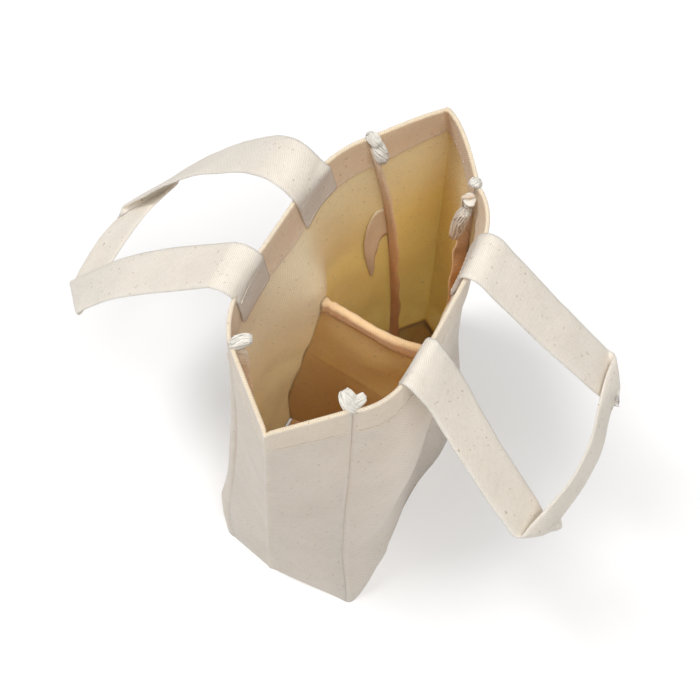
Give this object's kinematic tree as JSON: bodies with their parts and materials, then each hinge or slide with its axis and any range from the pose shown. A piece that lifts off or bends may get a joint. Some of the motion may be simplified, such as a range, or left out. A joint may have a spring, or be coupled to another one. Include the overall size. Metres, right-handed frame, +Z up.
{
  "type": "bottle carrier bag",
  "caption": "Soft canvas carrier bag with a divider down its middle, side gussets and a pair of webbing loop handles.",
  "frame": {"origin": "on the floor, under the middle of the bag's base", "axes": "+Z up; +X along the panels from the near gusset to the far one; +Y from the front panel to the back one"},
  "size_m": [0.2409, 0.3358, 0.3043],
  "materials": {
    "canvas": "unbleached cotton canvas with a fine rib and small seed specks",
    "webbing": "unbleached cotton strap with a fine rib",
    "overlocking": "overlocked edge with loose cotton thread",
    "thread": "cotton sewing thread",
    "label_tape": "blank woven tape"
  },
  "bodies": {
    "bag": {"front_panel": "canvas", "back_panel": "canvas", "gusset_strip": "canvas", "divider": "canvas", "front_handle_near_end": "webbing", "front_handle_far_end": "webbing", "back_handle_near_end": "webbing", "back_handle_far_end": "webbing", "near_front_seam": "overlocking", "near_back_seam": "overlocking", "far_front_seam": "overlocking", "far_back_seam": "overlocking", "base_front_seam": "overlocking", "base_back_seam": "overlocking", "near_front_tuft": "overlocking", "near_back_tuft": "overlocking", "far_front_tuft": "overlocking", "far_back_tuft": "overlocking", "hem_thread": "thread", "handle_thread": "thread", "divider_thread": "thread"},
    "front_loop": {"front_handle": "webbing"},
    "back_loop": {"back_handle": "webbing"},
    "label_flap": {"care_label": "label_tape"}
  },
  "joints": [
    {"name": "front_handle_swing", "type": "hinge", "parent": "bag", "child": "front_loop", "pos_m": [0.004, -0.05434, 0.2973], "axis": [-1, 0, 0], "range_deg": [-20, 150]},
    {"name": "back_handle_swing", "type": "hinge", "parent": "bag", "child": "back_loop", "pos_m": [0.004, 0.04705, 0.2973], "axis": [1, 0, 0], "range_deg": [-20, 150]},
    {"name": "care_label_flap", "type": "hinge", "parent": "bag", "child": "label_flap", "pos_m": [0.08126, 0.01727, 0.187], "axis": [0, 0, 1], "range_deg": [0, 60]}
  ]
}
